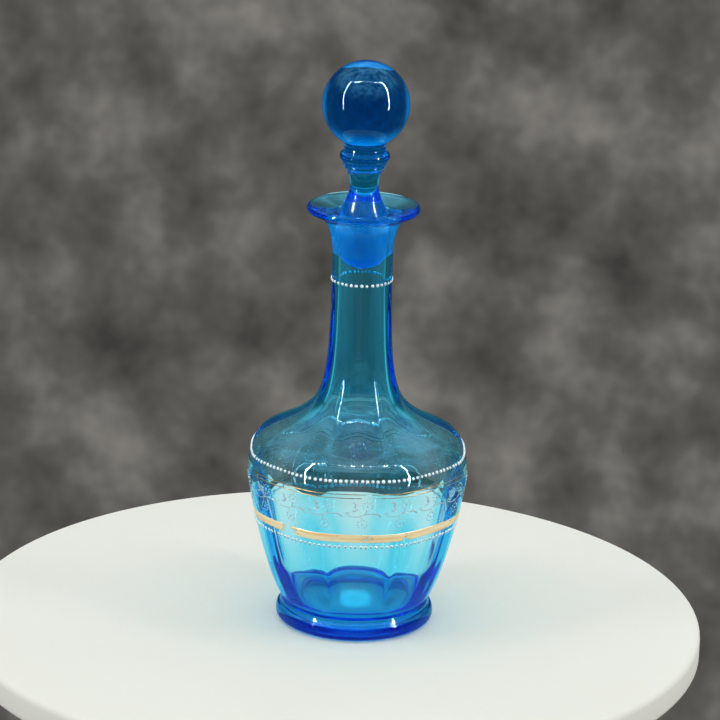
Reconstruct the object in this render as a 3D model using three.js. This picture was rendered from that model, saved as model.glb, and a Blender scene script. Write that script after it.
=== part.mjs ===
// Enamelled glass decanter with a solid ball stopper.
// Millimetres, +Z up. The origin is on the table, at the centre of the foot,
// and the middle of one moulded panel faces the front, -Y.

import * as THREE from 'three';

// Foot: a thick pad of glass applied under the body, its underside dished
const FOOT_RADIUS = 36.2;
const FOOT_DISH_DEPTH = 4.2;
const FOOT_DISH_FLAT = 10;
const FOOT_DISH_BEND_RADIUS = 18;
const FOOT_DISH_BEND_HEIGHT = 2.6;
const FOOT_BEARING_INNER = 25.5;
const FOOT_BEARING_OUTER = 31.5;
const FOOT_GLASS_UNDER_BODY = 4.6;

// Body: mould blown with eight soft panels, then drawn out to the neck.
// Radii are those at the middle of a panel.
const HEEL_RADIUS = 32.6;
const HEEL_ROUND = 4.4;
const HEEL_LEAN = THREE.MathUtils.degToRad(27);
const BELLY_RADIUS = 50.1;
const BELLY_HEIGHT = 71.8;
const FLANK_LOWER_REACH = 26;
const FLANK_UPPER_REACH = 4;
const BREAK_RADIUS = 24.4;
const BREAK_HEIGHT = 100.1;
const BREAK_ANGLE = THREE.MathUtils.degToRad(39);
const SHOULDER_LOWER_REACH = 21.3;
const SHOULDER_UPPER_REACH = 16.1;
const NECK_RADIUS = 13.6;
const NECK_HEIGHT = 168;
const NECK_LOWER_REACH = 11;
const NECK_UPPER_REACH = 50;
const WALL = 2.6;
const FLOOR_GLASS = 5.6;
const FLOOR_CORNER = 4;
const FLOOR_RISE = 1.2;
const PUSH_UP_RADIUS = 24;
const PUSH_UP_RISE = 2;

// Ridges between the panels: how far they stand out of the outside and of the
// cavity, as shares of the radius. Below the shoulder the glass is thickest at
// the ridges, so there they stand into the cavity.
const PANELS = 8;
const RIDGES = [
  { height: 9.3, outside: 0, inside: 0 },
  { height: 24, outside: 0.024, inside: -0.022 },
  { height: 70, outside: 0.018, inside: -0.022 },
  { height: 84, outside: 0.026, inside: -0.008 },
  { height: 103, outside: 0.056, inside: 0.03 },
  { height: 130, outside: 0.046, inside: 0.03 },
  { height: 166, outside: 0.012, inside: 0 },
  { height: 180, outside: 0, inside: 0 },
];

// Lip: a flat disc flared from the neck, dished towards the mouth
const LIP_RADIUS = 25.4;
const LIP_ROUND = 1.7;
const LIP_HEIGHT = 194.9;
const LIP_DISH = 3.4;
const LIP_UNDERCUT = 3.0;
const FLARE_REACH = 15;
const FLARE_SPREAD = 8.7;
const MOUTH_ROUND = 0.9;

// Stopper: a ground taper plug, a waisted shank, a ringed collar and a solid ball
const PLUG_RADIUS = 11.2;
const PLUG_SUNK = 0.8;
const PLUG_GROUND_LENGTH = 18.5;
const PLUG_TAPER = 0.05;
const PLUG_END_LENGTH = 6.5;
const PLUG_END_FLAT = 4;
const WAIST_RADIUS = 6.4;
const WAIST_RISE = 11;
const WAIST_PULL = 4.2;
const COLLAR_RISE = 19.4;
const COLLAR_FOOT_RADIUS = 7.9;
const COLLAR_NOTCH = 0.1;
const COLLAR_RINGS = [
  { radius: 8.9, height: 2.2 },
  { radius: 10.2, height: 2.8 },
  { radius: 11.4, height: 3.8 },
];
const BALL_RADIUS = 19.6;
const BALL_NECK_RADIUS = 8.6;
const BALL_NECK_HEIGHT = 3.8;

// Gilding laid on the outside of the body
const GILT_THICKNESS = 0.3;
const GILT_BAND_HEIGHT = 52.8;
const GILT_BAND_WIDTH = 3.9;
const GILT_LINE_HEIGHTS = [74.4, 76.1];
const GILT_LINE_WIDTH = 0.6;

// Space left where two pieces of glass, or gilding and glass, meet
const SEAT_GAP = 0.3;

// Facets
const AROUND_BODY = 48;
const AROUND_STOPPER = 32;
const BALL_BANDS = 20;
const SHORTEST_FACET = 0.02;

const GLASS = { color: 0x1f9fd0, roughness: 0.05, metalness: 0 };
const DEEP_GLASS = { color: 0x0a4fb4, roughness: 0.05, metalness: 0 };
const GROUND_GLASS = { color: 0x1c78b4, roughness: 0.5, metalness: 0 };
const GILT = { color: 0xc98f3c, roughness: 0.35, metalness: 0.9 };

const { lerp, smoothstep } = THREE.MathUtils;
const at = (r, z) => new THREE.Vector2(r, z);

// A curved stretch of an outline, by its two ends and the two pulls on it
function sweep(from, pullFrom, pullTo, to, steps) {
  return new THREE.CubicBezierCurve(from, pullFrom, pullTo, to).getPoints(steps);
}

// A round stretch of an outline, from one angle to another
function round(centre, radius, from, to, steps) {
  const curve = new THREE.EllipseCurve(centre.x, centre.y, radius, radius, from, to, from > to);
  return curve.getPoints(steps);
}

// Joins stretches end to end and leaves out points that coincide
function outline(...stretches) {
  const points = stretches.flat();
  return points.filter((p, i) => i === 0 || p.distanceTo(points[i - 1]) > SHORTEST_FACET);
}

// The same outline moved inward by the thickness of the wall
function inset(points, wall) {
  return points.map((p, i) => {
    const before = points[Math.max(i - 1, 0)];
    const after = points[Math.min(i + 1, points.length - 1)];
    const along = after.clone().sub(before).normalize();
    return at(p.x - along.y * wall, p.y + along.x * wall);
  });
}

// Radius of an outline, drawn upwards, at one height
function radiusAt(points, z) {
  const i = Math.max(points.findIndex((p) => p.y >= z), 1);
  const below = points[i - 1];
  const above = points[i];
  const share = (z - below.y) / (above.y - below.y);
  return lerp(below.x, above.x, share);
}

// Share of the radius by which the ridges stand out at a height, on one face
function ridgeShare(face, z) {
  const last = RIDGES.length - 1;
  if (z <= RIDGES[0].height || z >= RIDGES[last].height) return 0;
  const i = RIDGES.findIndex(({ height }) => height > z);
  const below = RIDGES[i - 1];
  const above = RIDGES[i];
  return lerp(below[face], above[face], smoothstep(z, below.height, above.height));
}

// Turns an outline round the upright axis. Each point may stand out at the
// ridges between the panels: ridge gives the share of its radius, by its number.
function turned(points, around, ridge = () => 0) {
  const geometry = new THREE.LatheGeometry(points, around);
  geometry.rotateX(Math.PI / 2);
  const position = geometry.attributes.position;
  for (let i = 0; i < position.count; i += 1) {
    const x = position.getX(i);
    const y = position.getY(i);
    const fromMiddle = (1 - Math.cos(PANELS * Math.atan2(x, -y))) / 2;
    const scale = 1 + ridge(i % points.length) * fromMiddle;
    position.setXY(i, x * scale, y * scale);
  }
  return geometry;
}

function piece(name, geometry, finish) {
  const mesh = new THREE.Mesh(geometry, new THREE.MeshStandardMaterial(finish));
  mesh.name = name;
  return mesh;
}

// Heights and places that follow from the sizes above
const bodyUnderside = FOOT_GLASS_UNDER_BODY + SEAT_GAP;
const heelCentre = at(HEEL_RADIUS - HEEL_ROUND, bodyUnderside + HEEL_ROUND);
const mouthHeight = LIP_HEIGHT + LIP_ROUND - LIP_DISH;
const lipEdgeCentre = at(LIP_RADIUS - LIP_ROUND, LIP_HEIGHT);
const plugTop = mouthHeight - PLUG_SUNK;
const plugEndRadius = PLUG_RADIUS - PLUG_TAPER * PLUG_GROUND_LENGTH;
const boreRadius = (z) => PLUG_RADIUS + SEAT_GAP - PLUG_TAPER * (plugTop - z);
const groundEnd = plugTop - PLUG_GROUND_LENGTH;

// Outside of the body, from the top of the heel up to the neck
function bodySide() {
  const heelTop = round(heelCentre, HEEL_ROUND, -HEEL_LEAN, -HEEL_LEAN, 1)[0];
  const belly = at(BELLY_RADIUS, BELLY_HEIGHT);
  const shoulder = at(BREAK_RADIUS, BREAK_HEIGHT);
  const slope = at(-Math.cos(BREAK_ANGLE), Math.sin(BREAK_ANGLE));
  const neck = at(NECK_RADIUS, NECK_HEIGHT);
  const lean = at(Math.sin(HEEL_LEAN), Math.cos(HEEL_LEAN));
  return outline(
    sweep(
      heelTop,
      heelTop.clone().addScaledVector(lean, FLANK_LOWER_REACH),
      at(belly.x, belly.y - FLANK_UPPER_REACH),
      belly,
      7,
    ),
    sweep(
      belly,
      at(belly.x, belly.y + SHOULDER_LOWER_REACH),
      shoulder.clone().addScaledVector(slope, -SHOULDER_UPPER_REACH),
      shoulder,
      8,
    ),
    sweep(
      shoulder,
      shoulder.clone().addScaledVector(slope, NECK_LOWER_REACH),
      at(neck.x, neck.y - NECK_UPPER_REACH),
      neck,
      8,
    ),
  );
}

const side = bodySide();

// The soft rise in the middle, where the foot's glass is pushed up into the body
function pushUp(z) {
  const rim = at(PUSH_UP_RADIUS, z);
  const halfway = at(PUSH_UP_RADIUS / 2, z + PUSH_UP_RISE);
  return new THREE.QuadraticBezierCurve(at(0, z + PUSH_UP_RISE), halfway, rim).getPoints(2);
}

// The blown vessel: underside, side, flared lip, ground mouth and cavity
function bottleBody() {
  const underside = outline(
    pushUp(bodyUnderside),
    round(heelCentre, HEEL_ROUND, -Math.PI / 2, -HEEL_LEAN, 3),
  );
  const lipUnder = at(lipEdgeCentre.x, LIP_HEIGHT - LIP_ROUND);
  const neck = at(NECK_RADIUS, NECK_HEIGHT);
  const flare = sweep(
    neck,
    at(NECK_RADIUS, NECK_HEIGHT + FLARE_REACH),
    at(lipUnder.x - FLARE_SPREAD, lipUnder.y - LIP_UNDERCUT),
    lipUnder,
    7,
  );
  const rim = round(lipEdgeCentre, LIP_ROUND, -Math.PI / 2, Math.PI / 2, 5);
  const mouthEdge = boreRadius(mouthHeight - MOUTH_ROUND);
  const mouthCentre = at(mouthEdge + MOUTH_ROUND, mouthHeight - MOUTH_ROUND);
  const mouth = [
    ...round(mouthCentre, MOUTH_ROUND, Math.PI / 2, Math.PI, 3),
    at(boreRadius(groundEnd), groundEnd),
  ];
  const floorHeight = bodyUnderside + FLOOR_GLASS;
  const cavity = inset(side, WALL)
    .filter((p) => p.y > floorHeight + FLOOR_CORNER && p.y < groundEnd - WALL)
    .reverse();
  const wallFoot = cavity[cavity.length - 1];
  const floor = new THREE.QuadraticBezierCurve(
    wallFoot,
    at(wallFoot.x - Math.sin(HEEL_LEAN) * FLOOR_CORNER, floorHeight),
    at(wallFoot.x - FLOOR_CORNER * 2, floorHeight),
  ).getPoints(3);
  const middle = at(0, floorHeight + FLOOR_RISE);
  const outside = outline(underside, side, flare, rim);
  const inside = outline(mouth, cavity, floor, [middle]);
  const points = [...outside, ...inside];
  const ridge = (i) => ridgeShare(i < outside.length ? 'outside' : 'inside', points[i].y);
  return piece('bottle_body', turned(points, AROUND_BODY, ridge), GLASS);
}

// The pad laps the heel of the body and stands on a ring ground flat. Inside the
// ring its underside is dished, so the glass stays thick all the way across.
function appliedFoot() {
  const lap = round(heelCentre, HEEL_ROUND + SEAT_GAP, -HEEL_LEAN, -Math.PI / 2, 3);
  const crest = lap[0];
  const widest = at(FOOT_RADIUS, crest.y / 2);
  const dish = sweep(
    at(0, FOOT_DISH_DEPTH),
    at(FOOT_DISH_FLAT, FOOT_DISH_DEPTH),
    at(FOOT_DISH_BEND_RADIUS, FOOT_DISH_BEND_HEIGHT),
    at(FOOT_BEARING_INNER, 0),
    3,
  );
  const points = outline(
    dish,
    sweep(
      at(FOOT_BEARING_OUTER, 0),
      at((FOOT_BEARING_OUTER + FOOT_RADIUS) / 2, 0),
      at(FOOT_RADIUS, widest.y / 2),
      widest,
      4,
    ),
    sweep(
      widest,
      at(FOOT_RADIUS, (widest.y + crest.y) / 2),
      at((FOOT_RADIUS + crest.x) / 2, crest.y),
      crest,
      4,
    ),
    lap,
    pushUp(FOOT_GLASS_UNDER_BODY).reverse(),
  );
  return piece('applied_foot', turned(points, AROUND_BODY), DEEP_GLASS);
}

// Plug, shank and ringed collar, made in one, with a cup for the ball on top
function stopperStem() {
  const waist = at(WAIST_RADIUS, plugTop + WAIST_RISE);
  const collarFoot = at(COLLAR_FOOT_RADIUS, plugTop + COLLAR_RISE);
  const plugEnd = groundEnd - PLUG_END_LENGTH;
  const plug = outline(
    [at(0, plugEnd)],
    sweep(
      at(PLUG_END_FLAT, plugEnd),
      at((PLUG_END_FLAT + plugEndRadius) / 2, plugEnd),
      at(plugEndRadius, (plugEnd + groundEnd) / 2),
      at(plugEndRadius, groundEnd),
      4,
    ),
    [at(PLUG_RADIUS, plugTop)],
  );
  const shank = outline(
    sweep(
      at(PLUG_RADIUS, plugTop),
      at((PLUG_RADIUS + WAIST_RADIUS * 2) / 3, plugTop + WAIST_PULL),
      at(WAIST_RADIUS, waist.y - WAIST_PULL),
      waist,
      5,
    ),
    sweep(waist, at(WAIST_RADIUS, waist.y + WAIST_PULL), collarFoot, collarFoot, 3),
  );
  const rings = [];
  let z = collarFoot.y;
  COLLAR_RINGS.forEach(({ radius, height }) => {
    const edge = height / 4;
    rings.push(at(radius - edge, z + COLLAR_NOTCH / 2), at(radius, z + edge));
    rings.push(at(radius, z + height - edge));
    rings.push(at(radius - edge, z + height - COLLAR_NOTCH / 2));
    z += height;
  });
  const cupEdge = z + BALL_NECK_HEIGHT;
  const cupRadius = BALL_RADIUS + SEAT_GAP;
  const ballCentre = cupEdge + Math.sqrt(cupRadius ** 2 - BALL_NECK_RADIUS ** 2);
  const edgeAngle = Math.acos(BALL_NECK_RADIUS / cupRadius);
  const cup = round(at(0, ballCentre), cupRadius, -edgeAngle, -Math.PI / 2, 4);
  cup[cup.length - 1].x = 0;
  const points = outline(plug, shank, rings, [at(BALL_NECK_RADIUS, z)], cup);
  const stem = piece('stopper_stem', turned(points, AROUND_STOPPER), GROUND_GLASS);
  return { stem, ballCentre };
}

function stopperBall(height) {
  const geometry = new THREE.SphereGeometry(BALL_RADIUS, AROUND_STOPPER, BALL_BANDS);
  geometry.rotateX(Math.PI / 2);
  const ball = piece('stopper_ball', geometry, GLASS);
  ball.position.z = height;
  return ball;
}

// A line of gilding round the body, standing out with its ridges
function giltRing(name, height, width) {
  const inner = (z) => radiusAt(side, z) + SEAT_GAP;
  const bottom = height;
  const top = height + width;
  const points = [
    at(inner(bottom), bottom),
    at(inner(bottom) + GILT_THICKNESS, bottom),
    at(inner(top) + GILT_THICKNESS, top),
    at(inner(top), top),
    at(inner(bottom), bottom),
  ];
  const ridge = (i) => ridgeShare('outside', points[i].y);
  return piece(name, turned(points, AROUND_BODY, ridge), GILT);
}

const decanter = new THREE.Group();
const { stem, ballCentre } = stopperStem();
decanter.add(
  bottleBody(),
  appliedFoot(),
  giltRing('gilt_band', GILT_BAND_HEIGHT, GILT_BAND_WIDTH),
  giltRing('gilt_line_lower', GILT_LINE_HEIGHTS[0], GILT_LINE_WIDTH),
  giltRing('gilt_line_upper', GILT_LINE_HEIGHTS[1], GILT_LINE_WIDTH),
  stem,
  stopperBall(ballCentre),
);

export default decanter;
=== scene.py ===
# %% [markdown]
# # A glass decanter with a ball stopper
#
# The bottle was blown into a mould with eight soft panels, drawn out to a long
# neck, and finished with a flared lip and a thick pad of glass for a foot. White
# enamel beads, small enamel flowers and worn gilding go round it. The stopper
# is a ground plug with a ringed collar and a solid ball on top.
#
# Clear coloured glass is all about its thickness: light loses red on its way
# through. So this script models both faces of every wall, and lets the colour
# come from the glass itself instead of painting it on.

import math

import bmesh
import bpy
import numpy as np
from mathutils import Matrix, Vector


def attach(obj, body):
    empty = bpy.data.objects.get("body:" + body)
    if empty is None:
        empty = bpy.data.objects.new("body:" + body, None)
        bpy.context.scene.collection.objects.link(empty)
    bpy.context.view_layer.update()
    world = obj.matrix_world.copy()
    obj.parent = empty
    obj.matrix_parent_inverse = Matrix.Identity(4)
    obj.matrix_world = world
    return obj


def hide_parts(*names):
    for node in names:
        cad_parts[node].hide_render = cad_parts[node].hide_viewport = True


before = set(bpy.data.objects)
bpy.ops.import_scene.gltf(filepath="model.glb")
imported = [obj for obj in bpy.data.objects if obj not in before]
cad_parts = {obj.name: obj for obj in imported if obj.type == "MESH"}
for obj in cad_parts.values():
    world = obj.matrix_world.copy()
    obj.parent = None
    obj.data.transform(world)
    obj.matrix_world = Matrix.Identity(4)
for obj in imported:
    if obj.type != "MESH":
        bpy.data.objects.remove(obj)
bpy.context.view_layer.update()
MM = 0.001
print("frame nodes:", sorted(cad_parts))

# %% [markdown]
# ## Outlines
#
# Everything turned on this object starts as an outline: a list of radius and
# height in millimetres. Short helpers make the curved stretches. A cubic curve
# has two ends and two pulls, which is how a glassmaker's template is drawn too.

# %% Helpers for outlines


def sweep(start, pull_a, pull_b, end, steps):
    """Points of a cubic curve, both ends included."""
    t = np.linspace(0, 1, steps + 1)[:, None]
    a, b, c, d = (np.array(p, float) for p in (start, pull_a, pull_b, end))
    return (1 - t) ** 3 * a + 3 * (1 - t) ** 2 * t * b + 3 * (1 - t) * t**2 * c + t**3 * d


def arc(centre, radius, start, end, steps):
    """Points of a round stretch, angles in degrees."""
    t = np.radians(np.linspace(start, end, steps + 1))
    return np.stack([centre[0] + radius * np.cos(t), centre[1] + radius * np.sin(t)], 1)


def chain(*stretches):
    """Joins stretches and drops points that coincide."""
    points = np.vstack(stretches)
    step = np.linalg.norm(np.diff(points, axis=0), axis=1)
    return points[np.r_[True, step > 0.01]]


def inset(points, wall):
    """The outline moved to the left of its direction by a wall for each point."""
    along = np.gradient(points, axis=0)
    along /= np.linalg.norm(along, axis=1)[:, None]
    return points + np.stack([-along[:, 1], along[:, 0]], 1) * wall[:, None]


# %% [markdown]
# ## The outside of the bottle
#
# The outline runs from the middle of the underside round the heel, up the
# flank to the widest point, over the shoulder and up the neck to the lip. It
# leaves the foot out: the foot was a separate gather of glass, put on hot.

# %% Outline of the outside
HEEL_CENTRE = (28.2, 9.3)
HEEL_ROUND = 4.4
HEEL_LEAN = math.radians(27)
BELLY = (50.1, 71.8)
BREAK = (24.4, 100.1)
BREAK_SLOPE = np.array([-math.cos(math.radians(39)), math.sin(math.radians(39))])
NECK = (13.6, 168)
LIP_EDGE = (23.7, 194.9)
LIP_ROUND = 1.7
FLANK_PULLS = (26, 4)
SHOULDER_PULLS = (21.3, 16.1)
NECK_PULLS = (11, 50)
FLARE_PULL = 15
UP = np.array([0, 1])

heel = arc(HEEL_CENTRE, HEEL_ROUND, -90, -math.degrees(HEEL_LEAN), 10)
lean = np.array([math.sin(HEEL_LEAN), math.cos(HEEL_LEAN)])
flank = sweep(heel[-1], heel[-1] + FLANK_PULLS[0] * lean, BELLY - FLANK_PULLS[1] * UP, BELLY, 44)
shoulder = sweep(
    BELLY, BELLY + SHOULDER_PULLS[0] * UP, BREAK - SHOULDER_PULLS[1] * BREAK_SLOPE, BREAK, 40
)
neck = sweep(BREAK, BREAK + NECK_PULLS[0] * BREAK_SLOPE, NECK - NECK_PULLS[1] * UP, NECK, 46)
side = chain(flank, shoulder, neck)

UNDERSIDE_RADIUS = 24
UNDERSIDE_TOP = 6.9
underside = sweep(
    (0, UNDERSIDE_TOP),
    (UNDERSIDE_RADIUS / 3, UNDERSIDE_TOP),
    (UNDERSIDE_RADIUS * 2 / 3, 6.2),
    (UNDERSIDE_RADIUS, HEEL_CENTRE[1] - HEEL_ROUND),
    16,
)

flare = sweep(NECK, NECK + FLARE_PULL * UP, (15.0, 190.2), LIP_EDGE - LIP_ROUND * UP, 28)
rim = arc(LIP_EDGE, LIP_ROUND, -90, 90, 16)
outside = chain(underside, heel, side, flare, rim)
print("outline of the outside:", len(outside), "points")

# %% [markdown]
# ## The mouth and the cavity
#
# The mouth was ground to fit its own plug: a straight taper of 1 in 10. Below
# it the cavity follows the outside at the thickness of the wall. The wall is
# more than three millimetres in the neck, thins to half a millimetre over the
# belly where the glass was blown widest, and gathers again towards the heavy
# floor.

# %% Outline of the cavity
PLUG_RADIUS = 11.2
PLUG_TOP = 192.4
PLUG_TAPER = 0.05
GROUND_END = 173.9
SEAT = 0.05
MOUTH_ROUND = 1
CAVITY_TOP = 171
FLOOR = 10.5
FLOOR_DOME = 1.2
CORNER_RISE = 4.5
WALL_HEIGHTS = [14, 32, 60, 78, 95, 106, 130, 170]
WALLS = [3.3, 1.15, 0.8, 0.55, 1.5, 3.4, 3.6, 3.2]


def bore(z):
    """Radius of the ground mouth at a height."""
    return PLUG_RADIUS + SEAT - PLUG_TAPER * (PLUG_TOP - z)


dish = sweep(LIP_EDGE + LIP_ROUND * UP, (20.4, 196.0), (16.2, 193.9), (13.6, 193.4), 14)
mouth_edge = arc((bore(PLUG_TOP) + MOUTH_ROUND, PLUG_TOP), MOUTH_ROUND, 88, 180, 6)
ground_z = np.linspace(PLUG_TOP - 0.4, GROUND_END, 14)
ground = np.stack([bore(ground_z), ground_z], 1)

walls = np.interp(side[:, 1], WALL_HEIGHTS, WALLS)
cavity = inset(side, walls)
cavity = cavity[(cavity[:, 1] > FLOOR + CORNER_RISE) & (cavity[:, 1] < CAVITY_TOP)][::-1]
low = cavity[-1]
corner = sweep(low, low - (1.6, 3.0), (low[0] - 4, FLOOR), (low[0] - 9, FLOOR), 12)
floor_top = FLOOR + FLOOR_DOME
floor_dome = sweep(corner[-1], (14, FLOOR), (7, floor_top), (0, floor_top), 12)
inside = chain(dish, mouth_edge, ground, cavity, corner, floor_dome)
print("outline of the cavity:", len(inside), "points")

# %% [markdown]
# ## Ridges
#
# The mould pressed eight panels into the glass, and the neck was drawn out of
# the same gather, so the ridges between the panels run on up to the neck and
# fade there. On the shoulder they stand out strongly; round the belly they are
# soft. Inside, low down, the glass is thickest behind the ridges and stands in
# narrow ribs, which is why dark blue lines run down the lower corners of the
# bottle. A rib's share raised to a power above one makes it narrow.

# %% How far the ridges stand out, as a share of the radius
PANELS = 8
RIDGE_HEIGHTS = [9.3, 24, 50, 70, 84, 103, 130, 166, 180]
RIDGE_OUTSIDE = [0, 0.024, 0.021, 0.020, 0.024, 0.056, 0.046, 0.012, 0]
RIDGE_INSIDE = [0, -0.034, -0.038, 0.002, 0.000, 0.010, 0.020, 0, 0]
INSIDE_TWIST = math.radians(2.5)
SHARP_HEIGHTS = [54, 72]
SHARPNESS = [3.6, 1]


def ridge_share(z, shares):
    """Eases from one height to the next, as the turning of a mould does."""
    z = np.clip(z, RIDGE_HEIGHTS[0], RIDGE_HEIGHTS[-1])
    i = np.clip(np.searchsorted(RIDGE_HEIGHTS, z, "right") - 1, 0, len(shares) - 2)
    low, high = np.take(RIDGE_HEIGHTS, i), np.take(RIDGE_HEIGHTS, i + 1)
    t = (z - low) / (high - low)
    t = t * t * (3 - 2 * t)
    return np.take(shares, i) * (1 - t) + np.take(shares, i + 1) * t


# %% [markdown]
# ## Helpers for node trees
#
# Geometry trees and materials are both made of nodes joined by links. Drawn by
# hand they are easy to read but hard to repeat exactly, so this script builds
# them. A few helpers keep that short: one adds a node and fills its inputs, two
# do sums, and one runs a finished tree and keeps the mesh that comes out.

# %% Helpers for node trees
GIVES_NUMBER = ("LENGTH", "DISTANCE", "DOT_PRODUCT")


def link(tree, value, socket):
    """Joins a socket to a source, or sets its value."""
    if isinstance(value, bpy.types.NodeSocket):
        tree.links.new(value, socket)
    elif value is not None:
        socket.default_value = value


def add(tree, kind, settings=None, **inputs):
    """Adds a node, sets its options, and fills its inputs by name or number."""
    node = tree.nodes.new(kind)
    for name, value in (settings or {}).items():
        setattr(node, name, value)
    for name, value in inputs.items():
        key = int(name[1:]) if name[0] == "_" else name.replace("_", " ")
        link(tree, value, node.inputs[key])
    return node


def calc(tree, operation, a, b=None, c=None):
    """One Math node, of a shader or of a geometry tree."""
    return add(tree, "ShaderNodeMath", {"operation": operation}, _0=a, _1=b, _2=c).outputs[0]


def vector(tree, operation, a, b=None, **more):
    """One Vector Math node: its vector, or its number where it gives a number."""
    options = {"operation": operation}
    node = add(tree, "ShaderNodeVectorMath", options, _0=a, _1=b, **more)
    return node.outputs["Value" if operation in GIVES_NUMBER else "Vector"]


def new_tree(name, **inputs):
    """A geometry tree with a mesh input, named inputs and a mesh output."""
    tree = bpy.data.node_groups.new(name, "GeometryNodeTree")
    face = tree.interface
    face.new_socket("Geometry", in_out="INPUT", socket_type="NodeSocketGeometry")
    for label, (kind, value) in inputs.items():
        made = face.new_socket(
            label.replace("_", " "), in_out="INPUT", socket_type="NodeSocket" + kind
        )
        if value is not None:
            made.default_value = value
    face.new_socket("Geometry", in_out="OUTPUT", socket_type="NodeSocketGeometry")
    return tree, tree.nodes.new("NodeGroupInput").outputs


def end_tree(tree, geometry, material):
    """Every tree ends in plain, smooth faces with a material."""
    real = add(tree, "GeometryNodeRealizeInstances", _0=geometry)
    smooth = add(tree, "GeometryNodeSetShadeSmooth", _0=real.outputs[0])
    done = add(tree, "GeometryNodeSetMaterial", Geometry=smooth.outputs[0], Material=material)
    out = tree.nodes.new("NodeGroupOutput")
    tree.links.new(done.outputs[0], out.inputs[0])


def grown(obj, tree, **values):
    """Runs a tree on an object and leaves the result as its plain mesh."""
    modifier = obj.modifiers.new(tree.name, "NODES")
    modifier.node_group = tree
    for item in tree.interface.items_tree:
        key = item.name.replace(" ", "_")
        if item.in_out == "INPUT" and key in values:
            modifier[item.identifier] = values[key]
    bpy.context.view_layer.update()
    seen = obj.evaluated_get(bpy.context.evaluated_depsgraph_get())
    made = bpy.data.meshes.new_from_object(seen)
    obj.modifiers.clear()
    obj.data = made
    made.name = obj.name
    return obj


def new_object(name, verts=(), faces=(), edges=()):
    mesh = bpy.data.meshes.new(name)
    mesh.from_pydata([tuple(v) for v in verts], list(edges), [tuple(f) for f in faces])
    obj = bpy.data.objects.new(name, mesh)
    bpy.context.scene.collection.objects.link(obj)
    return obj


def report(obj):
    """Prints how many triangles a piece has, and its volume where it is closed."""
    bm = bmesh.new()
    bm.from_mesh(obj.data)
    open_edges = sum(1 for e in bm.edges if not e.is_manifold)
    volume = bm.calc_volume(signed=True) * 1e6
    bm.free()
    count = sum(len(p.vertices) - 2 for p in obj.data.polygons)
    print(f"{obj.name}: {count} triangles, {volume:.2f} cm3, {open_edges} open edges")


# %% [markdown]
# ## A tree that turns an outline into a panelled vessel
#
# The whole vessel obeys one rule: every point of the outline goes round the
# axis, a little further out at the ridges. Geometry Nodes suit a rule well. A
# grid gets one row for each outline point and one column for each step round,
# and Set Position bends it into shape. Merging by distance closes the seam and
# the two ends on the axis.

# %% The turning tree


def turning_tree():
    tree, given = new_tree(
        "turned_with_panels",
        Around=("Int", 192),
        Panels=("Int", PANELS),
        Flatness=("Float", 0.5),
        Material=("Material", None),
    )
    size = add(tree, "GeometryNodeAttributeDomainSize", _0=given["Geometry"])
    rows = size.outputs["Point Count"]
    columns = calc(tree, "ADD", given["Around"], 1)
    grid = add(tree, "GeometryNodeMeshGrid", Vertices_X=columns, Vertices_Y=rows)
    index = add(tree, "GeometryNodeInputIndex").outputs[0]
    row = calc(tree, "MODULO", index, rows)
    column = calc(tree, "FLOOR", calc(tree, "DIVIDE", calc(tree, "ADD", index, 0.5), rows))

    position = add(tree, "GeometryNodeInputPosition").outputs[0]
    point = add(
        tree,
        "GeometryNodeSampleIndex",
        {"data_type": "FLOAT_VECTOR"},
        Geometry=given["Geometry"],
        Value=position,
        Index=row,
    ).outputs[0]
    outline_point = add(tree, "ShaderNodeSeparateXYZ", _0=point).outputs
    ridge, twist, sharp = [
        add(
            tree,
            "GeometryNodeSampleIndex",
            Geometry=given["Geometry"],
            Value=add(tree, "GeometryNodeInputNamedAttribute", Name=name).outputs[0],
            Index=row,
        ).outputs[0]
        for name in ("ridge", "twist", "sharp")
    ]

    turn = calc(tree, "MULTIPLY", calc(tree, "DIVIDE", column, given["Around"]), math.tau)
    from_middle = calc(tree, "SUBTRACT", turn, twist)
    wave = calc(tree, "COSINE", calc(tree, "MULTIPLY", from_middle, given["Panels"]))
    soft = calc(tree, "MULTIPLY", calc(tree, "SUBTRACT", 1, wave), 0.5)
    half = calc(tree, "DIVIDE", math.pi, given["Panels"])
    off_middle = calc(tree, "WRAP", from_middle, half, calc(tree, "MULTIPLY", half, -1))
    beyond = calc(tree, "SUBTRACT", calc(tree, "DIVIDE", 1, calc(tree, "COSINE", off_middle)), 1)
    at_ridge = calc(tree, "SUBTRACT", calc(tree, "DIVIDE", 1, calc(tree, "COSINE", half)), 1)
    flat = calc(tree, "DIVIDE", beyond, at_ridge)
    mixed = add(
        tree, "ShaderNodeMix", {"data_type": "FLOAT"}, _0=given["Flatness"], _2=soft, _3=flat
    ).outputs[0]
    narrowed = calc(tree, "POWER", mixed, sharp)
    grow = calc(tree, "MULTIPLY_ADD", ridge, narrowed, 1)
    radius = calc(tree, "MULTIPLY", outline_point[0], grow)
    x = calc(tree, "MULTIPLY", radius, calc(tree, "SINE", turn))
    y = calc(tree, "MULTIPLY", calc(tree, "MULTIPLY", radius, calc(tree, "COSINE", turn)), -1)
    place = add(tree, "ShaderNodeCombineXYZ", X=x, Y=y, Z=outline_point[2]).outputs[0]
    bent = add(tree, "GeometryNodeSetPosition", Geometry=grid.outputs[0], Position=place)
    closed = add(
        tree, "GeometryNodeMergeByDistance", Geometry=bent.outputs[0], Distance=0.001 * MM
    )
    end_tree(tree, closed.outputs[0], given["Material"])
    return tree


turning = turning_tree()


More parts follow.
